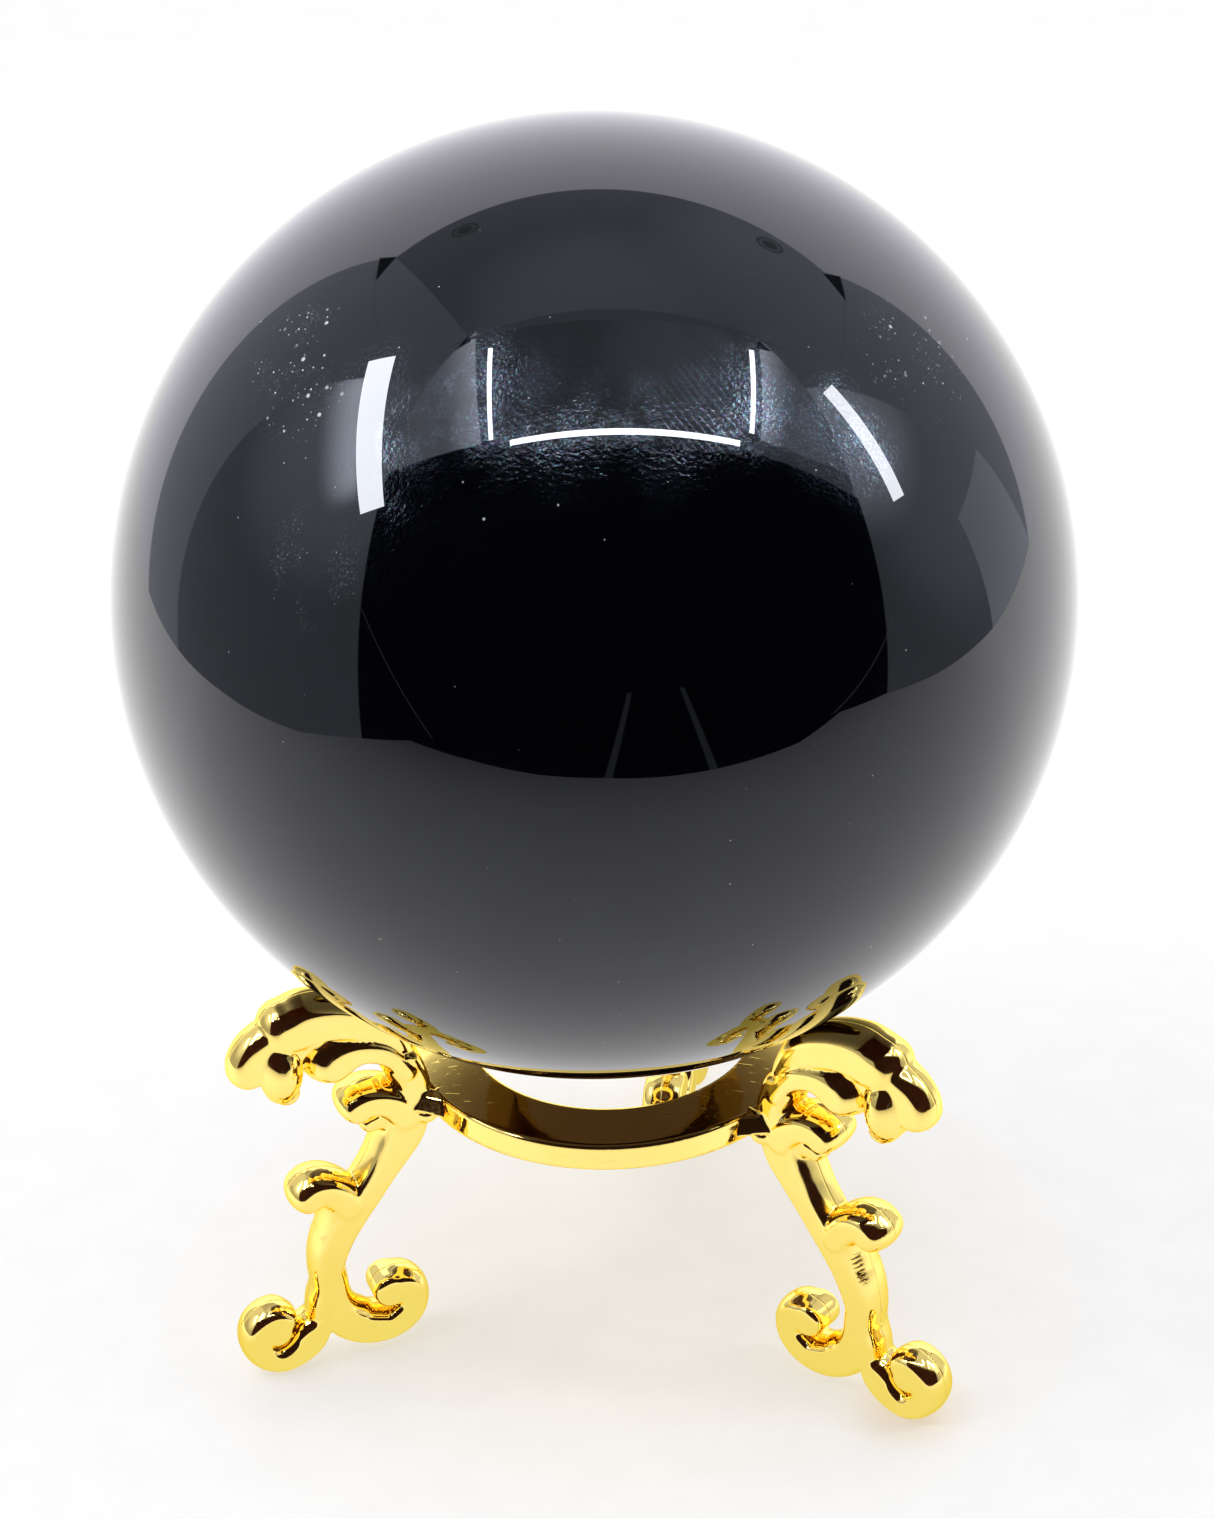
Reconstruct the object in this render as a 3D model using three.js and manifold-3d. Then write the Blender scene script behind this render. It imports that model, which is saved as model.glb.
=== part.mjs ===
// A polished black obsidian sphere lying on a gilded three-legged stand.
// Millimetres, +Z up, the floor is z = 0, the sphere's axis is the Z axis.
import * as THREE from 'three';
import { mergeVertices } from 'three/addons/utils/BufferGeometryUtils.js';
import Module from 'manifold-3d';

// Driving dimensions.
const SPHERE_RADIUS = 45;
const SPHERE_CENTRE_HEIGHT = 78.7;
const RING_INNER_RADIUS = 14;
const RING_TOP_RADIUS = 19.3;
const RING_FOOT_RADIUS = 19.9;
const RING_BOTTOM = 27.3;
const RING_TOP_OUTER = 29.85;
const RING_TOP_INNER = 30.5;
const RING_EDGE = 0.35;
const SOLDER_GAP = 0.3;
const LEG_COUNT = 3;
const FOOT_THICKNESS = 4.1;
const BACK_LEG_TURN = THREE.MathUtils.degToRad(-3);
const EYE_RISE = 0.3;

const wasm = await Module();
wasm.setup();

// The leg is cast flat, so each strap of it is drawn in one upright plane through the axis.
// A strap is a centre line of [distance from the axis, height, half width of its flat side];
// thickness is across the plane and ridge is how far its edges swell at the middle of the
// thickness, both as [at the start, at the end].
const STRAPS = [
  {
    // shaft, from the leaf down to where the foot divides
    line: [
      [22.1, 33, 0.7], [21.3, 31.1, 0.65], [21.2, 29.1, 0.8], [22, 27, 1.4],
      [22.8, 25.2, 1.45], [23.7, 23.5, 1.25], [25, 21.3, 1], [26.8, 18.8, 1.1],
      [28.5, 17, 1.4], [29.9, 15.2, 1.5], [30.9, 12.9, 1.4], [31.6, 10.5, 1.3],
      [31.8, 8.5, 1.15], [31.7, 6.6, 1.35], [31.4, 5.2, 1.8],
    ],
    thickness: [5.4, 3.0],
    ridge: [1.3, 0.2],
    steps: 18,
  },
  {
    // inner foot scroll
    line: [
      [30.5, 5, 1.4], [29.3, 3.7, 1.5], [27.8, 2.8, 1.5], [26.4, 2.4, 1.4],
      [25.1, 2.3, 1.2], [23.9, 2.8, 1.2], [22.9, 3.7, 1.1], [22.5, 4.9, 1.05],
      [22.6, 6, 1], [23.3, 6.8, 0.95], [24.1, 7, 0.9],
    ],
    thickness: [FOOT_THICKNESS, FOOT_THICKNESS],
    ridge: [0.5, 0.75],
    steps: 14,
  },
  {
    // outer foot scroll, the one that stands on the floor
    line: [
      [32, 5.2, 1.4], [32.9, 3.6, 1.35], [34.1, 2.3, 1.2], [35.3, 1.6, 1],
      [36.4, 1.25, 0.9], [37.5, 1.65, 0.95], [38.5, 2.7, 1], [39, 4, 1],
      [38.7, 5.2, 0.95], [37.9, 5.8, 0.9],
    ],
    thickness: [FOOT_THICKNESS, FOOT_THICKNESS],
    ridge: [0.6, 0.6],
    steps: 14,
  },
  {
    // curl half way up the shaft
    line: [
      [27.8, 17.6, 1.1], [28.8, 18.9, 0.95], [29.8, 20, 0.8], [30.9, 20.6, 0.7],
      [31.9, 20.6, 0.7], [32.6, 20.2, 0.6],
    ],
    thickness: [4.6, 5.2],
    ridge: [1.0, 1.3],
    steps: 8,
  },
  {
    // lowest curl of the leaf
    line: [
      [22.1, 27.4, 1.2], [23.2, 28.6, 1.15], [24.4, 29.4, 1.05], [25.6, 29.7, 1.1],
      [26.4, 29.6, 1.05], [27.1, 29.3, 1],
    ],
    thickness: [4.7, 4.7],
    ridge: [0.8, 0.8],
    steps: 8,
  },
  {
    // middle band of the leaf
    line: [
      [21.8, 32.6, 0.85], [22.9, 34.1, 0.8], [24.2, 35, 0.85], [25.8, 35.5, 0.9],
      [27.4, 35.5, 0.95], [28.8, 35, 1], [29.8, 34.3, 1.05],
    ],
    thickness: [4.6, 4.2],
    ridge: [0.8, 0.45],
    steps: 9,
  },
  {
    // top petal, which carries the sphere
    line: [
      [21.8, 33.5, 0.6], [22.5, 35.8, 0.5], [23.7, 37.7, 0.55], [25.5, 38.8, 0.85],
      [27.5, 39.7, 0.95], [29.5, 40.2, 1], [31.3, 40.3, 1], [32.6, 40, 0.9],
      [33.4, 39.9, 0.75],
    ],
    thickness: [4.8, 5.2],
    ridge: [0.7, 1.75],
    steps: 11,
  },
  {
    // outermost petal
    line: [
      [30.6, 38.5, 0.6], [32.6, 38.6, 0.8], [34.6, 38.6, 1], [36.2, 37.6, 1.35],
      [37.2, 36.5, 1.5], [37.4, 36.3, 1.5],
    ],
    thickness: [4.4, 3.6],
    ridge: [0.9, 0.45],
    steps: 8,
  },
  {
    // petal hanging between the outermost one and the middle band
    line: [
      [31.4, 38.2, 0.6], [32.8, 37.6, 1.1], [33.9, 36.3, 1.5], [34.2, 34.8, 1.5],
      [34, 33.5, 1.3], [33.9, 33.1, 1.2],
    ],
    thickness: [4.2, 3.7],
    ridge: [0.8, 0.4],
    steps: 8,
  },
  {
    // seat under the ring, where the leg is soldered to it
    line: [[22.1, 26.6, 0.9], [20.9, 26.8, 0.75], [19.9, 26.9, 0.65]],
    thickness: [3.4, 3.0],
    ridge: [0.3, 0.3],
    steps: 3,
  },
];

// The rolled-up cores of the two foot scrolls: [distance from the axis, height, radius].
const EYES = [
  [24.9, 6.6, 1.5],
  [37.1, 5.1, 1.65],
];

// Closed triangle soup to one welded geometry without flat triangles.
function weld(positions) {
  const soup = new THREE.BufferGeometry();
  soup.setAttribute('position', new THREE.Float32BufferAttribute(positions, 3));
  return weldGeometry(soup);
}

function weldGeometry(source) {
  const bare = new THREE.BufferGeometry();
  bare.setAttribute('position', source.getAttribute('position').clone());
  if (source.index) {
    bare.setIndex(source.index.clone());
  }
  const welded = mergeVertices(bare, 1e-4);
  const old = welded.index.array;
  const kept = [];
  for (let i = 0; i < old.length; i += 3) {
    const [a, b, c] = [old[i], old[i + 1], old[i + 2]];
    if (a !== b && b !== c && a !== c) {
      kept.push(a, b, c);
    }
  }
  welded.setIndex(kept);
  return welded;
}

function toSolid(geometry) {
  return new wasm.Manifold(new wasm.Mesh({
    numProp: 3,
    vertProperties: new Float32Array(geometry.getAttribute('position').array),
    triVerts: new Uint32Array(geometry.index.array),
  }));
}

function toGeometry(solid) {
  const mesh = solid.getMesh();
  const geometry = new THREE.BufferGeometry();
  geometry.setAttribute('position', new THREE.BufferAttribute(new Float32Array(mesh.vertProperties), 3));
  geometry.setIndex(new THREE.BufferAttribute(new Uint32Array(mesh.triVerts), 1));
  return geometry;
}

// One strap of the leg as a closed solid: a flat side each way and edges that swell to a ridge
// at the middle of the thickness, with both ends rounded.
function strap({ line, thickness, ridge, steps }) {
  const curve = new THREE.CatmullRomCurve3(line.map(([r, h, w]) => new THREE.Vector3(r, h, w)), false, 'centripetal');
  const samples = curve.getSpacedPoints(steps);
  const blend = ([first, last], share) => first + (last - first) * share;
  const stations = [];
  const addNose = (at, forward, side, half, share, angles) => {
    for (const angle of angles) {
      const out = Math.sin(angle);
      const across = Math.cos(angle);
      const left = new THREE.Vector2(forward.x * out + side.x * across, forward.y * out + side.y * across);
      const right = new THREE.Vector2(forward.x * out - side.x * across, forward.y * out - side.y * across);
      stations.push({ at, half, share, left, right });
    }
  };
  samples.forEach((point, i) => {
    const before = samples[Math.max(i - 1, 0)];
    const after = samples[Math.min(i + 1, samples.length - 1)];
    const forward = new THREE.Vector2(after.x - before.x, after.y - before.y).normalize();
    const side = new THREE.Vector2(-forward.y, forward.x);
    const at = new THREE.Vector2(point.x, point.y);
    const share = i / steps;
    if (i === 0) {
      const back = forward.clone().negate();
      addNose(at, back, side, point.z, share, [Math.PI / 2]);
    }
    stations.push({ at, half: point.z, share, left: side, right: side.clone().negate() });
    if (i === samples.length - 1) {
      addNose(at, forward, side, point.z, share, [Math.PI / 6, Math.PI / 3, Math.PI / 2]);
    }
  });
  const corner = (station, outward, swell, level) => {
    const reach = station.half + swell * blend(ridge, station.share);
    const y = (level * blend(thickness, station.share)) / 2;
    return [station.at.x + outward.x * reach, y, station.at.y + outward.y * reach];
  };
  const loops = stations.map((station) => [
    corner(station, station.left, 0, 1),
    corner(station, station.right, 0, 1),
    corner(station, station.right, 1, 0),
    corner(station, station.right, 0, -1),
    corner(station, station.left, 0, -1),
    corner(station, station.left, 1, 0),
  ]);
  const positions = [];
  for (let i = 0; i + 1 < loops.length; i += 1) {
    for (let k = 0; k < 6; k += 1) {
      const [a, b] = [loops[i][k], loops[i][(k + 1) % 6]];
      const [c, d] = [loops[i + 1][(k + 1) % 6], loops[i + 1][k]];
      positions.push(...a, ...c, ...b, ...a, ...d, ...c);
    }
  }
  return toSolid(weld(positions));
}

// The core of a foot scroll: a short barrel standing slightly proud of both flat sides.
function eye([r, h, radius]) {
  const half = FOOT_THICKNESS / 2 + EYE_RISE;
  const profile = [
    [0, -half], [radius - 0.4, -half], [radius + 0.4, 0], [radius - 0.4, half], [0, half],
  ].map(([x, y]) => new THREE.Vector2(x, y));
  const barrel = new THREE.LatheGeometry(profile, 12);
  barrel.translate(r, 0, h);
  return toSolid(weldGeometry(barrel));
}

// Ring cross-section turned about the axis; grow widens it all round for the clearance cut.
function ringGeometry(grow, segments) {
  const e = RING_EDGE;
  const profile = [
    [RING_INNER_RADIUS - grow, RING_BOTTOM - grow + e],
    [RING_INNER_RADIUS - grow + e, RING_BOTTOM - grow],
    [RING_FOOT_RADIUS + grow - e, RING_BOTTOM - grow],
    [RING_FOOT_RADIUS + grow, RING_BOTTOM - grow + e],
    [RING_TOP_RADIUS + grow, RING_TOP_OUTER + grow - e],
    [RING_TOP_RADIUS + grow - e, RING_TOP_OUTER + grow],
    [RING_INNER_RADIUS - grow + e, RING_TOP_INNER + grow],
    [RING_INNER_RADIUS - grow, RING_TOP_INNER + grow - e],
    [RING_INNER_RADIUS - grow, RING_BOTTOM - grow + e],
  ].map(([x, y]) => new THREE.Vector2(x, y));
  const lathe = new THREE.LatheGeometry(profile, segments);
  lathe.rotateX(Math.PI / 2);
  return weldGeometry(lathe);
}

// One leg in the plane y = 0, reaching out along +X: all straps and eyes joined, clear of the ring
// by the solder gap and cut level with the floor so that it stands on small flats.
function legSolid() {
  const parts = [...STRAPS.map(strap), ...EYES.map(eye)];
  const whole = wasm.Manifold.union(parts);
  const clearance = toSolid(ringGeometry(SOLDER_GAP, 72));
  const ground = new THREE.BoxGeometry(120, 40, 10);
  ground.translate(30, 0, -5);
  return whole.subtract(clearance).subtract(toSolid(weldGeometry(ground)));
}

function material(color, roughness, metalness) {
  return new THREE.MeshStandardMaterial({ color, roughness, metalness });
}

function addPiece(group, name, geometry, look) {
  const mesh = new THREE.Mesh(geometry, look);
  mesh.name = name;
  group.add(mesh);
}

const group = new THREE.Group();
group.name = 'obsidian_sphere_on_stand';

const ball = new THREE.SphereGeometry(SPHERE_RADIUS, 48, 24);
ball.rotateX(Math.PI / 2);
ball.translate(0, 0, SPHERE_CENTRE_HEIGHT);
addPiece(group, 'sphere', weldGeometry(ball), material(0x0b0b0d, 0.05, 0));

addPiece(group, 'ring', ringGeometry(0, 48), material(0xe8c868, 0.12, 1));

// The first leg points to the back (+Y) and is soldered on a little off true; the others follow
// every third of a turn.
const leg = toGeometry(legSolid());
const LEG_NAMES = ['leg_back', 'leg_left', 'leg_right'];
for (let i = 0; i < LEG_COUNT; i += 1) {
  const turned = leg.clone();
  const offTrue = i === 0 ? BACK_LEG_TURN : 0;
  turned.rotateZ(Math.PI / 2 + (i * 2 * Math.PI) / LEG_COUNT + offTrue);
  addPiece(group, LEG_NAMES[i], turned, material(0xe8c868, 0.12, 1));
}

export default group;
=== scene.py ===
import math

import bpy
import numpy as np
from mathutils import Matrix


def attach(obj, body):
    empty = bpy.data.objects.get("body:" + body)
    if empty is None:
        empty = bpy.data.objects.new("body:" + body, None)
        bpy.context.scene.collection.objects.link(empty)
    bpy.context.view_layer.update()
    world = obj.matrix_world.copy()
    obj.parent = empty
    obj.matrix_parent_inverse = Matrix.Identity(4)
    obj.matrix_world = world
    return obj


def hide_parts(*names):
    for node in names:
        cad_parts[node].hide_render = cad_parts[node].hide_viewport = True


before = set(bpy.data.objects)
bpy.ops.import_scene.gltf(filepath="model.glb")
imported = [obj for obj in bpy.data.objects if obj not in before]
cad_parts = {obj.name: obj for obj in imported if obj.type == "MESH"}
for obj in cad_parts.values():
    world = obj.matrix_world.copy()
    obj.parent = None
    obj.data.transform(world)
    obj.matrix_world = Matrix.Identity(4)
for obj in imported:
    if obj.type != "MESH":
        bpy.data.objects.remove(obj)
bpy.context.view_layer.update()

# The viewpoint
# The photograph looks down on the sphere from the front, a little from its right, through a long lens
# about 39 cm away. The aim is slightly off the sphere's middle, so that the stand comes into the picture.
SPHERE_MIDDLE = np.array([0.0, 0.0, 0.0787])
VIEW_AZIMUTH = math.radians(10.19)
VIEW_ELEVATION = math.radians(27.74)
VIEW_DISTANCE = 0.38913
# Degrees by which the camera, once it faces the sphere's middle, turns about its own up, right and forward axes.
AIM_UP, AIM_RIGHT, AIM_FORWARD = -0.0848, -2.239, 2.232
LENS = 98.96
SENSOR_HEIGHT = 36.0


def from_view(azimuth, elevation):
    """Unit vector from the sphere towards azimuth (degrees round from the viewer, to the right) and elevation."""
    a = np.radians(azimuth) + VIEW_AZIMUTH
    e = np.radians(elevation)
    return np.stack([np.sin(a) * np.cos(e), -np.cos(a) * np.cos(e), np.sin(e) + 0.0 * a], -1)


def turned(v, axis, degrees):
    """v turned about axis by an angle: the part along the axis stays, the rest goes round by cosine and sine."""
    t = math.radians(degrees)
    return v * math.cos(t) + np.cross(axis, v) * math.sin(t) + axis * (axis @ v) * (1 - math.cos(t))


def standing(x_axis, y_axis, z_axis, origin):
    """Matrix of an object whose own three axes point in the given directions from its origin."""
    rows = [[x_axis[n], y_axis[n], z_axis[n], origin[n]] for n in range(3)]
    return Matrix(rows + [[0.0, 0.0, 0.0, 1.0]])


towards_viewer = from_view(0.0, math.degrees(VIEW_ELEVATION))
eye = SPHERE_MIDDLE + towards_viewer * VIEW_DISTANCE
forward = -towards_viewer
right = np.array([math.cos(VIEW_AZIMUTH), math.sin(VIEW_AZIMUTH), 0.0])
up = np.cross(right, forward)
forward, right = turned(forward, up, AIM_UP), turned(right, up, AIM_UP)
forward, up = turned(forward, right, AIM_RIGHT), turned(up, right, AIM_RIGHT)
right, up = turned(right, forward, AIM_FORWARD), turned(up, forward, AIM_FORWARD)

camera_data = bpy.data.cameras.new("viewpoint")
camera_data.sensor_fit = "VERTICAL"
camera_data.sensor_height = SENSOR_HEIGHT
camera_data.lens = LENS
camera_data.clip_start = 0.01
camera_data.clip_end = 20.0
camera = bpy.data.objects.new("viewpoint", camera_data)
bpy.context.scene.collection.objects.link(camera)
camera.matrix_world = standing(right, up, -forward, eye)
bpy.context.scene.camera = camera
bpy.context.scene.view_settings.view_transform = "Standard"


# The paper floor
# A sheet of plain white photographer's paper lies under the stand. It ends a hand's breadth in front of the
# legs' reach, where the open front of the light tent begins.
class Wire:
    """An output of a node tree. Sums, products and comparisons of wires and numbers add Math nodes."""

    def __init__(self, tree, socket=None):
        self.tree = tree
        self.socket = socket

    def node(self, kind, settings=None, sockets=None, out=0):
        """Adds a node of a kind, with its settings set first, then the values or wires of its sockets."""
        made = self.tree.nodes.new(kind)
        for name, value in (settings or {}).items():
            setattr(made, name, value)
        for name, value in (sockets or {}).items():
            if isinstance(value, Wire):
                self.tree.links.new(value.socket, made.inputs[name])
            else:
                made.inputs[name].default_value = value
        return Wire(self.tree, made.outputs[out])

    def output(self, name):
        """Another output of the node that this wire comes from."""
        return Wire(self.tree, self.socket.node.outputs[name])

    def math(self, operation, *values):
        return self.node("ShaderNodeMath", {"operation": operation}, dict(enumerate(values)))

    def vector(self, operation, *values, out=0):
        return self.node("ShaderNodeVectorMath", {"operation": operation}, dict(enumerate(values)), out)

    def mix(self, first, second):
        """Colour first where this wire is 0 and second where it is 1."""
        return self.node("ShaderNodeMix", {"data_type": "RGBA"}, {0: self, 6: first, 7: second}, 2)

    def ramp(self, low, high, start=0.0, end=1.0):
        """Smooth step: start below low, end above high."""
        return self.node(
            "ShaderNodeMapRange",
            {"interpolation_type": "SMOOTHSTEP"},
            {"Value": self, "From Min": low, "From Max": high, "To Min": start, "To Max": end},
        )

    def __add__(self, other):
        return self.math("ADD", self, other)

    def __radd__(self, other):
        return self.math("ADD", other, self)

    def __sub__(self, other):
        return self.math("SUBTRACT", self, other)

    def __rsub__(self, other):
        return self.math("SUBTRACT", other, self)

    def __mul__(self, other):
        return self.math("MULTIPLY", self, other)

    def __rmul__(self, other):
        return self.math("MULTIPLY", other, self)

    def __gt__(self, other):
        return self.math("GREATER_THAN", self, other)

    def __lt__(self, other):
        return self.math("LESS_THAN", self, other)


def new_object(name, vertices, faces, smooth=True):
    """A mesh object at the origin from arrays of points and of corner numbers."""
    mesh = bpy.data.meshes.new(name)
    mesh.from_pydata(vertices.tolist(), [], [f for group in faces for f in group.tolist()])
    mesh.polygons.foreach_set("use_smooth", np.full(len(mesh.polygons), smooth))
    mesh.update()
    made = bpy.data.objects.new(name, mesh)
    bpy.context.scene.collection.objects.link(made)
    return made


def finish_material(name):
    """A new material, and the Wire that its nodes are added with."""
    material = bpy.data.materials.new(name)
    material.use_nodes = True
    material.node_tree.nodes.clear()
    return material, Wire(material.node_tree)


def plug(shader):
    """Makes a shader's wire the surface of its material."""
    out = shader.tree.nodes.new("ShaderNodeOutputMaterial")
    shader.tree.links.new(shader.socket, out.inputs["Surface"])


# The paper's corners, to the viewer's right and away from the viewer, in metres.
PAPER_EDGE = [
    (-0.345, -0.071), (-0.306, -0.208), (-0.319, -0.332), (-0.305, -0.520), (-0.144, -0.467), (-0.017, -0.407),
    (0.066, -0.380), (0.137, -0.338), (0.208, -0.302), (0.323, -0.250), (0.488, -0.254), (0.501, -0.146),
    (0.432, -0.011), (0.394, 0.117), (0.45, 1.6), (-0.45, 1.6), (-0.37, 0.2),
]
# Where the near feet stand on the paper, and how strongly a painted golden shade shows round each.
FOOT_SHADES = [((0.0315, -0.0182, 0.0), 0.9), ((-0.0315, -0.0182, 0.0), 0.2)]

paper_points = np.array([(x, y, 0.0) for x, y in PAPER_EDGE])
floor = new_object("paper_floor", paper_points, [np.arange(len(PAPER_EDGE))[None]], smooth=False)

paper, wire = finish_material("paper")
rays = wire.node("ShaderNodeLightPath")
bounces = rays.output("Glossy Depth")
place = wire.node("ShaderNodeTexCoord", out=3)
depth = wire.vector("DOT_PRODUCT", place, (-math.sin(VIEW_AZIMUTH), math.cos(VIEW_AZIMUTH), 0.0), out=1)
sideways = wire.vector("DOT_PRODUCT", place, (math.cos(VIEW_AZIMUTH), math.sin(VIEW_AZIMUTH), 0.0), out=1)
distance = wire.vector("LENGTH", place, out=1)

# The paper as it is seen: lit by the tent and evened out by a glow, which has painted shade, warmer and darker, under
# the stand.
fibre = wire.node("ShaderNodeTexNoise", None, {"Vector": place, "Scale": 160.0, "Detail": 4.0})
paper_bump = wire.node("ShaderNodeBump", None, {"Strength": 0.45, "Distance": 0.0006, "Height": fibre})
lit = wire.node("ShaderNodeBsdfDiffuse", None, {"Color": (0.76, 0.75, 0.735, 1.0), "Normal": paper_bump})
# Painted shade: the glow's colour is warmer and darker under the stand and round each near foot.
glow_with_painted_shade = distance.ramp(0.012, 0.054).mix((0.89, 0.845, 0.765, 1.0), (0.965, 0.962, 0.955, 1.0))
for foot, share in FOOT_SHADES:
    shaded = wire.vector("DISTANCE", place, foot, out=1).ramp(0.002, 0.0085, share, 0.0)
    glow_with_painted_shade = shaded.mix(glow_with_painted_shade, (0.88, 0.75, 0.61, 1.0))
# The glow is painted brighter towards the back of the tent, and mottled with the paper's fibre.
strength = depth.ramp(-0.05, 0.15, 1.168, 1.29) * fibre.ramp(0.35, 0.65, 0.985, 1.01)
evened = wire.node("ShaderNodeEmission", None, {"Color": glow_with_painted_shade, "Strength": strength})
direct = wire.node("ShaderNodeMixShader", None, {0: 0.42, 1: evened, 2: lit})

# The paper as stone and gold mirror it: painted brighter towards the back of the tent, painted shade under the stand,
# painted gold-tinted shade where the mirror is close to it, and painted extra light where it is mirrored twice or more.
falling = wire.math("MINIMUM", wire.math("EXPONENT", depth * 3.0) * 1.6, 1.8)
shade = sideways * sideways * 180.0 + (depth - 0.13) * (depth - 0.13) * 60.0
shade = 1.0 - wire.math("EXPONENT", shade * -1.0) * 0.5
reach = rays.output("Ray Length")
# Painted shade: the paper that a close mirror sees is tinted like the gold, and darker in the strength below.
painted_gold_shade_tint = reach.ramp(0.004, 0.05).mix((0.93, 0.95, 0.65, 1.0), (1.0, 0.99, 1.0, 1.0))
# Painted light: paper that is mirrored twice or more is lifted.
lift = (bounces > 1.5) * 0.35 + (bounces > 2.5) * 0.4 + 1.0
strength = falling * shade * reach.ramp(0.0, 0.07, 0.80, 1.0) * lift
mirrored = wire.node("ShaderNodeEmission", None, {"Color": painted_gold_shade_tint, "Strength": strength})
plug(wire.node("ShaderNodeMixShader", None, {0: rays.output("Is Glossy Ray"), 1: direct, 2: mirrored}))
floor.data.materials.append(paper)


# The light tent
# White cloth walls, a roof and a bright back surround the stand; its front is open and dark. The glossy stone
# and gilding mirror it, so its panels are laid out by the directions of their edges as seen from the sphere.
surroundings = bpy.data.worlds.new("light_tent")
surroundings.use_nodes = True
surroundings.node_tree.nodes.clear()
sky = Wire(surroundings.node_tree)
looking = sky.node("ShaderNodeTexCoord", out=0)
# Half the width over which the edge of a panel fades.
EDGE_SOFTNESS = 0.004


def side_of(edge, inner):
    """How far looking lies inside the circle that runs through two or three directions. For three the circle's
    plane holds their points; for two it also holds the middle, so that the edge looks straight."""
    points = np.array([from_view(azimuth, elevation) for azimuth, elevation in edge])
    across = points[1] - points[0] if len(points) == 3 else points[0]
    normal = np.cross(across, points[2] - points[0] if len(points) == 3 else points[1])
    normal = normal / np.linalg.norm(normal)
    offset = float(normal @ points[0]) if len(points) == 3 else 0.0
    sign = float(np.sign(normal @ from_view(*inner) - offset))
    return sky.vector("DOT_PRODUCT", looking, tuple(normal * sign), out=1) - offset * sign


def panel(inner, *edges):
    """Mask that is 1 in the flat panel that holds the direction inner and ends at the given edges."""
    inside = None
    for edge in edges:
        margin = side_of(edge, inner)
        inside = margin if inside is None else sky.math("MINIMUM", inside, margin)
    return inside.ramp(-EDGE_SOFTNESS, EDGE_SOFTNESS)


def halo(azimuth, elevation, reach):
    """Soft round patch of light about a direction, fading over reach degrees."""
    nearness = sky.vector("DOT_PRODUCT", looking, tuple(from_view(azimuth, elevation)), out=1)
    return nearness.ramp(math.cos(math.radians(reach)), 1.0)


def grey(level):
    """Cool white cloth of a brightness."""
    return (level * 0.96, level, level * 1.12, 1.0)


# The tent's edges, each through two or three directions (azimuth, elevation) in degrees.
left_fold, right_fold = [(-100.4, 46.4), (-108.6, 32), (-112, 15)], [(96.5, 40), (101.3, 32.7), (108, 12)]
left_corner, right_corner = [(-142, 41.8), (-139, 25), (-135, 10)], [(134, 34.6), (130, 12), (125, -3)]
back_top = [(-142, 41.8), (177, 44.5), (134, 34.6)]
front_top = [(-45.6, 57.2), (15.2, 63.3), (64.3, 48.1)]
left_flap = [(-95.9, 65.2), (-81.9, 55.8), (-68, 42.2)]
right_flap = [(98.8, 53.3), (89.7, 44.3), (78.5, 30.2)]
left_end, right_end = [(-97, 69), (-45.6, 57.2)], [(100, 56), (64.3, 48.1)]
right_lip = [(64.3, 48.1), (70.9, 40.2), (78.5, 30.4)]
roof_front = [(-99.4, 68.0), (139, 85.3), (101.2, 56.1)]
lamp_edge = [(-105.1, 47.3), (-68.0, 31.1)]

# Roof, left wall with the light that spills past its lamp, right wall and back.
roof = halo(160, 84, 30).mix(grey(0.53), grey(0.89))
roof = halo(125, 47, 28).mix(roof, grey(0.85))
spill = side_of(lamp_edge, (-75, 50)).ramp(-0.18, 0.0) * halo(-88, 39, 17).ramp(0.0, 0.8)
spill = spill * side_of(lamp_edge, (-95, 30)).ramp(-EDGE_SOFTNESS, EDGE_SOFTNESS)
spill = spill.mix(halo(-84, 40, 34).mix(grey(0.50), grey(1.1)), grey(5.4))
lower_left = panel((-80, 10), left_fold, left_flap).mix(grey(0.86), spill)
cloth = panel((-100, 20), left_corner, [(-141.3, 42.3), (-99.4, 68)], left_flap).mix(roof, lower_left)
spill = halo(86, 38, 24).mix(halo(100, 16, 30).mix(grey(0.47), grey(0.85)), grey(1.9))
lower_right = panel((90, 10), right_fold, right_flap).mix(grey(0.86), spill)
cloth = panel((100, 20), right_corner, [(134, 34.6), (101.2, 56.1)], right_flap).mix(cloth, lower_right)
cloth = panel((178, 10), back_top, left_corner, right_corner).mix(cloth, (1.81, 1.79, 1.92, 1.0))

# The flaps beside the lamps, the hatch in the roof, the open dark front, and the ledge and hem above it.
left_gradient = side_of([(-90, 71.5), (-43, 59.4)], (-75, 50)).ramp(0.0, 0.2).mix(grey(4.6), grey(1.3))
right_gradient = side_of([(96, 57), (63.9, 50.2)], (80, 40)).ramp(0.0, 0.14).mix(grey(4.6), grey(1.1))
cloth = panel((-75, 55), left_flap, left_end, [(-67, 42.4), (-57.1, 50.7), (-45.6, 57.2)]).mix(cloth, left_gradient)
cloth = panel((85, 44), right_flap, right_end, right_lip).mix(cloth, right_gradient)
hatch = panel((10, 75), front_top, left_end, right_end, roof_front)
cloth = hatch.mix(cloth, halo(75, 68, 22).mix(grey(0.46), grey(0.75)))
opening = panel(
    (0, 20), [(-54.2, -6), (-58.6, 18.5), (-67.4, 40)], [(-66.5, 42.5), (-57.1, 50.7), (-45.6, 57.2)], front_top,
    right_lip, [(78.5, 30.4), (71.6, 12), (66.8, -10.5)])
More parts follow.
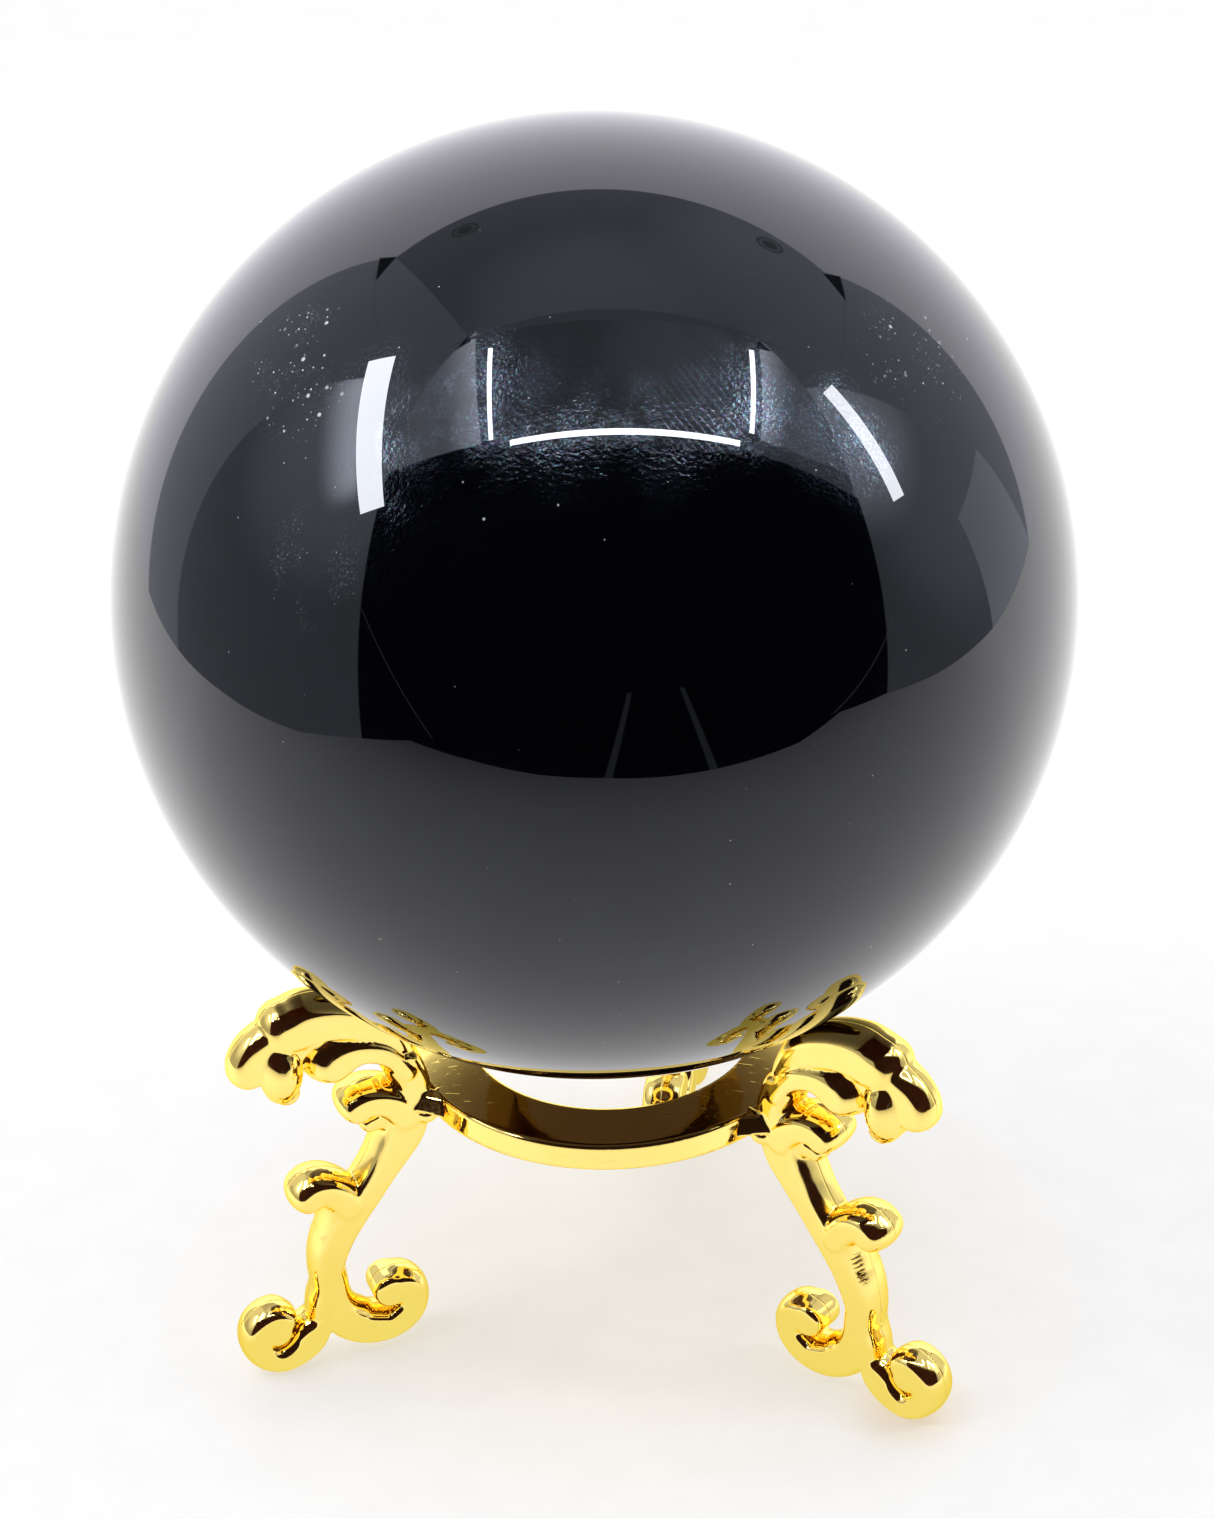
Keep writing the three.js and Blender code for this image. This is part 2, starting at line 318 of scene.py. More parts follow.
cloth = opening.mix(cloth, (0.006, 0.007, 0.010, 1.0))
ledge = panel((139, 82.8), [(-100.5, 64.8), (139.1, 80.4), (103.9, 52.6)], roof_front, [(-100, 66), (102, 54)])
cloth = ledge.mix(cloth, grey(0.62))
hem = panel(
    (10, 62.4), front_top, [(-34.1, 56.9), (13.9, 61.3), (55, 48.4)], [(-36.0, 58.4), (-34.1, 56.4)],
    [(54.8, 47.8), (57.0, 49.2)])
cloth = hem.mix(cloth, grey(0.32))

# A pale card on the right, dark gaps at four corners of the cloth, two rods in the opening, four seams, two eyelets.
card = panel(
    (110, -2), [(115.7, 6.8), (121.6, -10.7)], [(121.6, -10.7), (101.0, -13.1)], [(101.0, -13.1), (99.1, 6.4)],
    [(99.1, 6.4), (115.7, 6.8)])
cloth = card.mix(cloth, grey(1.3))
for corners in (
    [(-142, 41.8), (-134.5, 41.8), (-142, 38)], [(126.5, 33.8), (133.5, 35.2), (134, 31.4)],
    [(-103, 67.4), (-98.5, 68), (-95.5, 65)], [(97.5, 56.5), (101.8, 56), (98.4, 53.2)],
):
    middle = tuple(np.mean(corners, 0))
    gap = panel(middle, corners[:2], corners[1:], [corners[2], corners[0]])
    cloth = gap.mix(cloth, grey(0.05))
for low, high in (((1.2, -15), (6.9, 5.5)), ((24.7, -15), (18.6, 5.2))):
    rod = panel(((low[0] + high[0]) / 2, -5), [(low[0] - 0.9, low[1]), (high[0] - 0.5, high[1])],
                [(low[0] + 0.9, low[1]), (high[0] + 0.5, high[1])], [(high[0] - 2, high[1]), (high[0] + 2, high[1])])
    cloth = rod.mix(cloth, grey(0.22))
for run, around, reach in (
    ([(-57.2, 14.9), (-50.7, 8.5), (-37, -7.3)], (-47, 4), 17), ([(53.2, -9.3), (68, -0.2), (81, 13)], (67, 0), 19),
    ([(-141.4, 37.7), (-125.3, 45.4), (-105.0, 50.2)], (-124, 45), 15),
    ([(127.7, 33.9), (115.9, 37.4), (100.4, 39.0)], (114, 37.5), 13),
):
    seam = sky.math("ABSOLUTE", side_of(run, (0, 89))).ramp(0.001, 0.004, 0.4, 0.0)
    cloth = (seam * halo(*around, reach).ramp(0.0, 0.2)).mix(cloth, grey(0.62))
for azimuth, elevation in ((-154.0, 48.3), (141.2, 41.3)):
    eyelet = halo(azimuth, elevation, 2.6)
    rim = eyelet.ramp(0.45, 0.7, 0.75, 0.35) + eyelet.ramp(0.86, 0.94, 0.0, 0.5)
    cloth = (eyelet.ramp(0.1, 0.4) * rim).mix(cloth, grey(0.22))

# The camera itself sees plain white paper behind the stand; what is mirrored twice or more is lifted.
rays = sky.node("ShaderNodeLightPath")
cloth = rays.output("Is Camera Ray").mix(cloth, (1.04, 1.04, 1.04, 1.0))
bounces = rays.output("Glossy Depth")
lift = (bounces > 1.5) * 0.35 + (bounces > 2.5) * 0.8 + 1.0
background = sky.node("ShaderNodeBackground", None, {"Color": cloth, "Strength": lift})
world_out = surroundings.node_tree.nodes.new("ShaderNodeOutputWorld")
surroundings.node_tree.links.new(background.socket, world_out.inputs["Surface"])
bpy.context.scene.world = surroundings
surroundings.cycles.sampling_method = "NONE"


# The lamps
# Five slim light bars are fixed inside the tent's roof and sides. They are the bright strokes in the stone and
# the sparkle on the gilding, each placed by the directions in which the stone mirrors its two ends.
SPHERE_RADIUS = 0.045
LAMP_DISTANCE = 0.3
# Each lamp's four mirrored corners, two at one end and two at the other, and its brightness.
LAMPS = {
    "front_bar": ([(-35.7, 60.5), (-34.4, 59.2), (58.5, 50.8), (57.1, 49.9)], 34.0),
    "left_thin_bar": ([(-90.2, 71.2), (-89.1, 72.2), (-44.0, 58.7), (-42.4, 59.0)], 34.0),
    "right_thin_bar": ([(95.6, 57.9), (96.3, 56.9), (63.3, 50.6), (64.5, 49.9)], 34.0),
    "left_panel": ([(-105.1, 47.3), (-104.1, 52.7), (-68.0, 31.1), (-62.8, 35.9)], 19.8),
    "right_strip": ([(93.6, 42.9), (96.8, 39.6), (84.6, 20.2), (88.2, 18.1)], 16.5),
}


def mirrored_place(azimuth, elevation, distance):
    """The point that lies distance away from the stone along the camera's ray mirrored in it towards a direction.
    The mirror's normal halves the angle between that direction and the camera, found by repeated halving."""
    out = from_view(azimuth, elevation)
    normal = towards_viewer
    for _ in range(20):
        back = eye - SPHERE_MIDDLE - normal * SPHERE_RADIUS
        normal = out + back / np.linalg.norm(back)
        normal = normal / np.linalg.norm(normal)
    return SPHERE_MIDDLE + normal * SPHERE_RADIUS + out * distance


def light_bar(name, corners, brightness):
    """A flat rectangular lamp that lies across the middles of its two ends and faces the stone."""
    a, b, c, d = (mirrored_place(azimuth, elevation, LAMP_DISTANCE) for azimuth, elevation in corners)
    first, second, middle = (a + b) / 2, (c + d) / 2, (a + b + c + d) / 4
    along = (second - first) / np.linalg.norm(second - first)
    away = middle - SPHERE_MIDDLE
    away = away - along * (away @ along)
    away = away / np.linalg.norm(away)
    across = np.cross(away, along)
    lamp_data = bpy.data.lights.new(name, "AREA")
    lamp_data.shape = "RECTANGLE"
    lamp_data.size = float(np.linalg.norm(second - first))
    lamp_data.size_y = float((abs((b - a) @ across) + abs((d - c) @ across)) / 2)
    lamp_data.energy = brightness * lamp_data.size * lamp_data.size_y * math.pi
    lamp_data.color = (0.985, 0.985, 1.0)
    lamp = bpy.data.objects.new(name, lamp_data)
    bpy.context.scene.collection.objects.link(lamp)
    lamp.matrix_world = standing(along, across, away, middle)
    lamp.visible_camera = False


for name, (corners, brightness) in LAMPS.items():
    light_bar(name, corners, brightness)


# The obsidian sphere
# One ball of black volcanic glass, ground round and polished to a mirror. Nothing holds it: it lies by its own
# weight on the legs' top petals. Its polish is clear, with dust, faint swirl marks and a few pale specks.
def ball(radius, middle, around, down):
    """Points radius * (sin v cos u, sin v sin u, cos v) about middle, on a grid of u round and v down. A fan of
    triangles closes each pole."""
    u = np.linspace(0, 2 * np.pi, around, endpoint=False)
    v = np.linspace(0, np.pi, down + 1)[1:-1]
    rows = np.stack([
        np.sin(v)[:, None] * np.cos(u), np.sin(v)[:, None] * np.sin(u), np.cos(v)[:, None] + 0 * u,
    ], -1).reshape(-1, 3)
    points = np.concatenate([[[0, 0, 1.0]], rows, [[0, 0, -1.0]]]) * radius + middle
    i, j = np.meshgrid(np.arange(down - 2), np.arange(around), indexing="ij")
    k = (j + 1) % around
    start = 1 + i * around
    quads = np.stack([start + j, start + around + j, start + around + k, start + k], -1).reshape(-1, 4)
    j = np.arange(around)
    k = (j + 1) % around
    last = 1 + (down - 2) * around
    top = np.stack([0 * j, 1 + j, 1 + k], -1)
    bottom = np.stack([0 * j + len(points) - 1, last + k, last + j], -1)
    return points, [quads, top, bottom]


sphere = new_object("obsidian_sphere", *ball(SPHERE_RADIUS, SPHERE_MIDDLE, 384, 192))
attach(sphere, "root")
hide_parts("sphere")

obsidian, wire = finish_material("polished_obsidian")
place = wire.node("ShaderNodeTexCoord", out=3)
place = wire.node("ShaderNodeMapping", None, {"Vector": place, "Location": tuple(-SPHERE_MIDDLE)})
outward = wire.vector("NORMALIZE", place)


def patch(x, y, z, reach):
    """Soft patch on the stone about the direction x, y, z from its middle, fading over reach degrees."""
    length = math.sqrt(x * x + y * y + z * z)
    nearness = wire.vector("DOT_PRODUCT", outward, (x / length, y / length, z / length), out=1)
    return nearness.ramp(math.cos(math.radians(reach)), math.cos(math.radians(reach * 0.4)))


def specks(cell, size, share):
    """Dots of random strength: a dot sits at a random point of a share of the cells of a cell's width."""
    cells = wire.node("ShaderNodeTexVoronoi", None, {"Vector": place, "Scale": 1 / cell, "Randomness": 1.0})
    chance = wire.node("ShaderNodeSeparateColor", None, {0: cells.output("Color")}, 0)
    strength = wire.node("ShaderNodeSeparateColor", None, {0: cells.output("Color")}, 1)
    near = cells.ramp(size * 0.5, size, 1.0, 0.0)
    return near * (chance < share) * strength


# Dust: single specks all over, two crowds of them on the left and one on the right, and a frosty patch low on the left.
crowd = wire.math("MAXIMUM", patch(-0.48, -0.45, 0.75, 7), patch(-0.45, -0.53, 0.715, 8))
crowd = wire.math("MAXIMUM", crowd, patch(0.685, -0.247, 0.685, 9) * 0.6)
frost = patch(-0.39, -0.80, 0.465, 8)
cloud = wire.node("ShaderNodeTexNoise", None, {"Vector": place, "Scale": 260.0, "Detail": 6.0, "Roughness": 0.65})
grit = wire.node("ShaderNodeTexNoise", None, {"Vector": place, "Scale": 3800.0, "Detail": 2.0})
crowded = (specks(0.0005, 0.23, 0.55) + specks(0.0013, 0.19, 0.6)) * crowd * cloud.ramp(0.44, 0.50) * 1.8
dust = specks(0.0024, 0.04, 0.6) + crowded
pale = grit.ramp(0.50, 0.70) * cloud.ramp(0.46, 0.60) * (crowd * 0.07 + frost * 0.05)
frosted = specks(0.0007, 0.12, 0.3) * 0.5 + specks(0.00035, 0.3, 0.6) * cloud.ramp(0.47, 0.58) * 0.2
pale = pale + frosted * frost

# Larger specks, each by its direction from the sphere's middle and its radius in mm.
LARGE_SPECKS = [
    (-0.055, -0.810, 0.583, 0.16), (0.081, -0.790, 0.608, 0.12), (-0.100, -0.766, 0.635, 0.10),
    (0.534, -0.593, 0.603, 0.12), (0.082, -0.972, -0.222, 0.07), (-0.455, -0.49, 0.743, 0.26),
    (-0.432, -0.565, 0.703, 0.24), (-0.41, -0.505, 0.76, 0.17), (-0.475, -0.6, 0.644, 0.17),
    (-0.478, -0.418, 0.772, 0.15),
]
for x, y, z, size in LARGE_SPECKS:
    middle = (x * SPHERE_RADIUS, y * SPHERE_RADIUS, z * SPHERE_RADIUS)
    spot = wire.vector("DISTANCE", place, middle, out=1)
    pale = pale + spot.ramp(size * 0.0005, size * 0.001, min(0.4 + size * 2.0, 0.9), 0.0)

# A short pale hair on the right, a reddish fleck low on the left, and the black glass itself.
hair = wire.vector("DOT_PRODUCT", place, (-0.60, 0.02, -0.80), out=1) - 0.00010
hair = wire.math("ABSOLUTE", hair).ramp(0.00002, 0.00007, 0.5, 0.0)
hair = hair * wire.vector("DISTANCE", place, (0.03123, -0.02281, -0.0230), out=1).ramp(0.0005, 0.0007, 1.0, 0.0)
marks = wire.math("MINIMUM", dust * 0.9 + pale + hair, 0.9)
glass = marks.mix((0.0006, 0.0007, 0.0012, 1.0), (0.62, 0.64, 0.66, 1.0))
fleck = wire.vector("DISTANCE", place, (-0.0126, -0.04136, -0.01247), out=1).ramp(0.0001, 0.0002, 0.5, 0.0)
glass = fleck.mix(glass, (0.50, 0.30, 0.22, 1.0))
# The polish mirrors with a cool tint, and about the bottom of the stone with a warm one: a painted warm reflection near
# the gold.
polish, painted_warm_reflection_polish = (
    wire.node("ShaderNodeBsdfPrincipled", None, {
        "Base Color": glass, "Roughness": 0.0, "IOR": 1.5, "Specular Tint": tint})
    for tint in ((0.97, 1.0, 1.06, 1.0), (0.86, 0.56, 0.5, 1.0)))
polish = wire.node("ShaderNodeMixShader", None, {0: patch(0.0, 0.0, -1.0, 42), 1: polish, 2: painted_warm_reflection_polish})

# Haze of fine scratches, which shows where the lamps are mirrored: cloudy swirls everywhere, stronger in rubbed
# patches, each given by its direction, its reach in degrees and its strength, with combed lines by the right thin lamp.
RUBBED = [
    (-0.065, -0.649, 0.758, 9, 0.95), (0.381, -0.569, 0.729, 9, 0.95), (0.58, -0.517, 0.63, 9, 0.6),
    (-0.17, -0.70, 0.69, 7, 0.95), (-0.12, -0.77, 0.63, 9, 0.95), (0.1, -0.80, 0.59, 24, 0.38),
]
rubbed = patch(0.19, -0.71, 0.68, 12)
for x, y, z, reach, most in RUBBED:
    rubbed = wire.math("MAXIMUM", rubbed, patch(x, y, z, reach) * most)
swirl = wire.node("ShaderNodeTexNoise", None, {"Vector": place, "Scale": 150.0, "Detail": 6.0, "Roughness": 0.65})
fine = wire.node("ShaderNodeTexNoise", None, {"Vector": place, "Scale": 2600.0, "Detail": 2.0})
scratches = wire.node("ShaderNodeBump", None, {"Strength": 1.0, "Distance": 0.000035, "Height": fine})
grains = wire.node("ShaderNodeTexVoronoi", None, {"Vector": place, "Scale": 6500.0}).output("Color")
sparkle = wire.node("ShaderNodeSeparateColor", None, {0: grains}, 1)
glint = wire.node("ShaderNodeMix", {"data_type": "RGBA"}, {0: 0.35, 6: (0.38, 0.50, 0.80, 1.0), 7: grains}, 2)
combed = wire.math("SINE", wire.vector("DOT_PRODUCT", place, (11000.0, 0.0, 12000.0), out=1) + fine * 3.0)
combed = combed.ramp(0.2, 0.9) * patch(0.33, -0.60, 0.73, 7)
worn = swirl.ramp(0.38, 0.66, 0.004, 0.085) * (sparkle * sparkle * 1.1 + 0.6) + combed * 0.05
worn = swirl.ramp(0.40, 0.66, 0.0010, 0.005) + worn * rubbed
haze = wire.node("ShaderNodeBsdfGlossy", None, {"Color": glint, "Roughness": 0.13, "Normal": scratches})
plug(wire.node("ShaderNodeMixShader", None, {0: worn, 1: polish, 2: haze}))
sphere.data.materials.append(obsidian)


# The ring
# A flat cast ring, soldered between the three legs. Its top slopes a little outwards and its rounded outer wall
# stands upright. It is plated with bright gold; the plating shows small pits and pulls near the solder.

# Its section, as (distance from the axis, height) in mm, from the inner wall over the top and back underneath.
RING_PROFILE = [
    (14.0, 28.2), (14.0, 29.4), (14.0, 30.3), (14.05, 30.46), (14.2, 30.5), (15.5, 30.33), (17.2, 30.12),
    (19.0, 29.9), (19.28, 29.86), (19.46, 29.76), (19.52, 29.5), (19.58, 28.9), (19.66, 28.2), (19.72, 27.6),
    (19.68, 27.38), (19.5, 27.3), (18.5, 27.3), (16.8, 27.3), (15.0, 27.3), (14.2, 27.3), (14.05, 27.36), (14.0, 27.5),
]


def smooth_loop(points, count):
    """Even points along the closed Catmull-Rom curve through points, whose tangent at each point is half the chord
    between its neighbours."""
    p = np.array(points, float)
    t = np.linspace(0, len(p), len(p) * 24, endpoint=False)
    i = t.astype(int)
    f = (t - i)[:, None]
    a, b, c, d = (p[(i + k) % len(p)] for k in (-1, 0, 1, 2))
    curve = 0.5 * (2 * b + (c - a) * f + (2 * a - 5 * b + 4 * c - d) * f ** 2 + (3 * b - a - 3 * c + d) * f ** 3)
    closed = np.vstack([curve, curve[:1]])
    run = np.concatenate([[0], np.cumsum(np.linalg.norm(np.diff(closed, axis=0), axis=1))])
    s = np.linspace(0, run[-1], count, endpoint=False)
    return np.stack([np.interp(s, run, closed[:, 0]), np.interp(s, run, closed[:, 1])], 1)


def closed_grid(rows, columns):
    """Corner numbers of the four-sided faces of a grid that joins up both ways."""
    i, j = np.meshgrid(np.arange(rows), np.arange(columns), indexing="ij")
    n, k = (i + 1) % rows, (j + 1) % columns
    return np.stack([i * columns + j, n * columns + j, n * columns + k, i * columns + k], -1).reshape(-1, 4)


def turned_ring(profile, around):
    """The profile (r, h) swept round the upright axis: points (r cos a, r sin a, h) at even angles a."""
    angle = np.linspace(0, 2 * np.pi, around, endpoint=False)[:, None]
    r, h = profile[None, :, 0], profile[None, :, 1]
    points = np.stack([r * np.cos(angle), r * np.sin(angle), h + 0 * angle], -1).reshape(-1, 3)
    return points * 0.001, [closed_grid(around, profile.shape[0])[:, ::-1]]


ring = new_object("gilded_ring", *turned_ring(smooth_loop(RING_PROFILE, 72), 360))
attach(ring, "root")
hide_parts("ring")


def gilding(name, ripple, pits, marks=None):
    """Bright gold plating over a casting: a slow waviness of the surface, faint pits and drawn streaks, roughness that
    drifts and a reddish bloom. Marks, if any, is a function that adds more relief and dark scratches."""
    material, base = finish_material(name)
    at = base.node("ShaderNodeTexCoord", out=3)
    slow = base.node("ShaderNodeTexNoise", None, {"Vector": at, "Scale": 260.0, "Detail": 2.0})
    small = base.node("ShaderNodeTexNoise", None, {"Vector": at, "Scale": 1500.0, "Detail": 3.0})
    holes = base.node("ShaderNodeTexVoronoi", None, {"Vector": at, "Scale": 700.0})
    hole = holes.ramp(0.06, 0.16, -1.0, 0.0)
    drawn = base.node("ShaderNodeMapping", None, {
        "Vector": at, "Rotation": (0.0, 0.0, -0.9), "Scale": (500.0, 2600.0, 900.0)})
    streaks = base.node("ShaderNodeTexNoise", None, {"Vector": drawn, "Scale": 1.0, "Detail": 1.0})
    height = slow * ripple + small * (ripple * 0.08) + hole * pits + streaks.ramp(0.66, 0.74) * (pits * 1.5)
    tone = slow.ramp(0.3, 0.7).mix((0.94, 0.735, 0.22, 1.0), (0.93, 0.715, 0.20, 1.0))
    if marks is not None:
        marked, dark = marks(base)
        height = height + marked
        tone = dark.mix(tone, (0.04, 0.03, 0.01, 1.0))
    relief = base.node("ShaderNodeBump", None, {"Strength": 1.0, "Distance": 0.0001, "Height": height})
    shine = small.ramp(0.35, 0.75, 0.045, 0.11)
    gold = base.node("ShaderNodeBsdfPrincipled", None, {
        "Base Color": tone, "Metallic": 1.0, "Roughness": shine, "Normal": relief,
        "Specular Tint": (0.88, 0.78, 0.4, 1.0),
    })
    bloom = base.node("ShaderNodeBsdfDiffuse", None, {"Color": (0.90, 0.13, 0.03, 1.0), "Roughness": 0.3})
    plug(base.node("ShaderNodeMixShader", None, {0: 0.05, 1: gold, 2: bloom}))
    return material


ring.data.materials.append(gilding("ring_gilding", 0.25, 0.06))


# The legs
# Three castings from one mould, each flat and upright in its own plane through the axis: a divided foot of two
# scrolls, a shaft with a curl, and a leaf whose top petal carries the sphere. They are soldered to the ring and plated.

# A strap is a centre line of (distance from the axis, height, half width of its flat side) in mm, then at its start
# and end its thickness, the swell of its edges beyond that half width, and how deep its left and right edges are
# rounded. Some add the height of the mould's ridge along their edges and a power that squares the rounding.
STRAPS = {
    "shaft": (
        [(22.1, 33, 0.7), (21.3, 31.1, 0.65), (21.2, 29.1, 0.8), (21.9, 27, 1.25), (22.6, 25.2, 1.35),
         (23.6, 23.5, 1.2), (25, 21.3, 1), (26.8, 18.8, 1.1), (28.4, 17, 1.4), (29.75, 15.1, 1.55),
         (30.75, 12.8, 1.55), (31.25, 10.5, 1.4), (31.5, 8.5, 1.15), (31.75, 6.7, 1.5), (31.7, 5.1, 1.8)],
        (5.0, 4.0), (1.3, 0.0), (1.2, 1.0), (0.7, 0.5), 0.15, 3.0),
    "foot_fillet": (
        [(30.3, 11.8, 1.0), (30.75, 10.4, 1.35), (30.85, 9.0, 1.55), (30.7, 7.4, 1.55), (30.2, 6.1, 1.45),
         (29.2, 5.0, 1.2), (27.9, 4.3, 0.9)],
        (4.1, 4.2), (0.4, 0.4), (1.9, 1.9), (1.2, 1.2), 0.0, 1.5),
    "shaft_shoulder": (
        [(30.1, 18.4, 0.6), (30.3, 17.0, 0.7), (30.8, 15.4, 0.7), (31.35, 13.6, 0.6)],
        (4.2, 4.0), (0.3, 0.3), (0.9, 0.9), (0.3, 0.3)),
    "inner_scroll": (
        [(30.5, 5, 1.4), (29.3, 3.7, 1.5), (27.8, 2.8, 1.5), (26.4, 2.4, 1.4), (25.1, 2.3, 1.2), (23.9, 2.8, 1.2),
         (22.9, 3.7, 1.1), (22.5, 4.9, 1.05), (22.6, 6, 1), (23.3, 6.8, 0.95), (24.1, 7, 0.9)],
        (4.2, 4.2), (0.5, 0.75), (1.1, 1.1), (0.9, 0.6)),
    "outer_scroll": (
        [(32.3, 5.3, 0.4), (32.8, 4.3, 1.15), (33.45, 3.3, 1.4), (34.2, 2.45, 1.3), (35.3, 1.75, 1.15),
         (36.4, 1.45, 1.05), (37.5, 1.75, 1.0), (38.5, 2.7, 1.05), (38.95, 4, 1.05), (38.7, 5.3, 1.05),
         (37.8, 6.15, 1.05), (36.7, 6.45, 1.0), (35.95, 6.0, 0.9)],
        (4.2, 4.2), (0.65, 0.5), (1.4, 0.9), (0.9, 1.1)),
    "middle_curl": (
        [(28.5, 18.3, 0.9), (29.1, 19.2, 0.85), (29.9, 20, 0.8), (30.9, 20.6, 0.7), (31.9, 20.6, 0.7),
         (32.6, 20.2, 0.6)],
        (4.8, 5.2), (1.0, 1.3), (1.3, 1.4), (0.8, 1.0)),
    "lowest_curl": (
        [(22.1, 27.6, 1.1), (23.2, 28.85, 1), (24.4, 29.6, 0.9), (25.6, 29.85, 0.9), (26.4, 29.75, 0.9),
         (27.1, 29.4, 0.95)],
        (5.2, 5.2), (0.8, 0.8), (1.3, 1.1), (0.5, 0.6)),
    "curl_web": (
        [(23.2, 27.5, 0.9), (24.6, 27.1, 0.9), (25.7, 26.7, 0.8)],
        (4.4, 3.0), (0.2, 0.2), (0.5, 0.5), (0.5, 0.5)),
    "middle_band": (
        [(21.8, 32.8, 0.85), (22.9, 34.45, 0.95), (24.2, 35.6, 1.2), (25.8, 36.2, 1.35), (27.3, 36.2, 1.65),
         (28.6, 35.7, 1.9), (29.3, 35.25, 1.9)],
        (5.4, 5.2), (0.7, 0.8), (1.4, 2.4), (0.5, 1.2), 0.0, 1.6),
    "top_petal": (
        [(21.8, 33.5, 0.6), (22.5, 35.8, 0.5), (23.7, 37.7, 0.55), (25.5, 38.8, 0.85), (27.5, 39.7, 0.95),
         (29.5, 40.2, 1), (31.3, 40.3, 1), (32.6, 40, 0.9), (33.4, 39.9, 0.75)],
        (4.4, 5.2), (0.7, 1.75), (1.1, 2.0), (0.25, 1.1)),
    "leaf_web": (
        [(22.6, 34.6, 1), (24, 36.6, 1), (26, 37.8, 1.2), (28, 38.1, 1.4), (29.4, 38.1, 1.5), (30.4, 38.2, 1.2)],
        (3.2, 2.6), (0.1, 0.1), (0.3, 0.3), (0.3, 0.3)),
    "brow": (
        [(31, 39.4, 0.7), (33, 39.7, 0.7), (35, 39.4, 0.7)],
        (4.0, 4.0), (0.1, 0.1), (0.3, 0.3), (0.3, 0.3)),
    "outermost_petal": (
        [(30.6, 38.9, 0.6), (32.6, 39.1, 0.8), (34.6, 39.05, 1), (36.2, 38, 1.35), (37.2, 36.6, 1.5),
         (37.35, 35.95, 1.5)],
        (4.6, 4.0), (0.9, 0.45), (1.6, 1.3), (0.5, 0.7)),
    "hanging_petal": (
        [(31.4, 38.2, 0.6), (32.8, 37.6, 1.1), (33.9, 36.3, 1.6), (34.1, 34.8, 1.65), (34.0, 33.5, 1.5),
         (33.9, 32.9, 1.4)],
        (4.2, 4.0), (0.5, 0.1), (0.6, 0.7), (0.3, 0.4)),
    "solder_seat": (
        [(22.8, 28.6, 1.6), (21, 28.5, 1.0), (19.2, 28.6, 0.7), (18.0, 28.6, 0.55)],
        (4.2, 4.6), (0.3, 0.4), (0.5, 0.5), (0.5, 0.5)),
    "solder_fillet": (
        [(21.9, 26.4, 0.9), (20.9, 26.9, 0.75), (19.8, 27.3, 0.6), (18.9, 27.9, 0.4)],
        (3.6, 3.8), (0.3, 0.3), (0.4, 0.4), (0.4, 0.4)),
}
# The buttons that the foot's two scrolls wind round: distance from the axis, height, radius and half thickness.
SCROLL_CORES = [(24.85, 6.6, 1.85, 2.15), (36.8, 4.95, 1.5, 2.15)]
# Rounded lumps: middle (distance from the axis, across, height), then their half sizes the same way.
LUMPS = [((20.2, 2.2, 27.2), (1.1, 0.9, 0.9)), ((20.2, -2.2, 27.2), (1.1, 0.9, 0.9))]
# Wedges of solder with a sloping outer face, in the corners between the ring's wall and a leg's two sides: the corners
# of the top triangle, then those of the wider bottom triangle.
WEDGE = [
    (18.6, 2.0, 30.0), (20.9, 2.3, 29.7), (19.0, 4.3, 29.75), (18.6, 2.0, 28.2), (22.0, 2.2, 28.0), (19.3, 5.2, 28.1),
]
# The hanging petal's bulge: middle (distance from the axis, height), half sizes, rim and rise off the middle plane.
BULGE = ((34.25, 35.5), (2.2, 3.6), 1.7, 1.75)
# The width in mm of the cells in which the shells are run together into one casting.
LEG_GRAIN = 0.16
# How many degrees round from the viewer's right each leg is soldered on; the back one is 3 degrees off true.
LEG_TURNS = {"leg_back": 87.0, "leg_left": 210.0, "leg_right": 330.0}


def centre_line(points, count):
    """Centripetal Catmull-Rom curve through points, at even distances. Each stretch blends its four nearest points
    by knots that lie the square root of their distance apart."""
    p = np.array(points, float)
    p = np.vstack([2 * p[0] - p[1], p, 2 * p[-1] - p[-2]])
    step = np.maximum(np.linalg.norm(np.diff(p, axis=0), axis=1) ** 0.5, 1e-4)
    knots = np.concatenate([[0], np.cumsum(step)])
    t = np.linspace(knots[1], knots[-2], 40 * len(points))
    i = np.clip(np.searchsorted(knots, t, side="right") - 1, 1, len(p) - 3)
    k = [knots[i + n][:, None] for n in (-1, 0, 1, 2)]
    q = [p[i + n] for n in (-1, 0, 1, 2)]
    t = t[:, None]

    def between(a, b, ka, kb):
        return (kb - t) / (kb - ka) * a + (t - ka) / (kb - ka) * b

    first = [between(q[n], q[n + 1], k[n], k[n + 1]) for n in range(3)]
    second = [between(first[n], first[n + 1], k[n], k[n + 2]) for n in range(2)]
    curve = between(second[0], second[1], k[1], k[2])
    run = np.concatenate([[0], np.cumsum(np.linalg.norm(np.diff(curve, axis=0), axis=1))])
    s = np.linspace(0, run[-1], count)
    return np.stack([np.interp(s, run, curve[:, n]) for n in range(3)], 1)


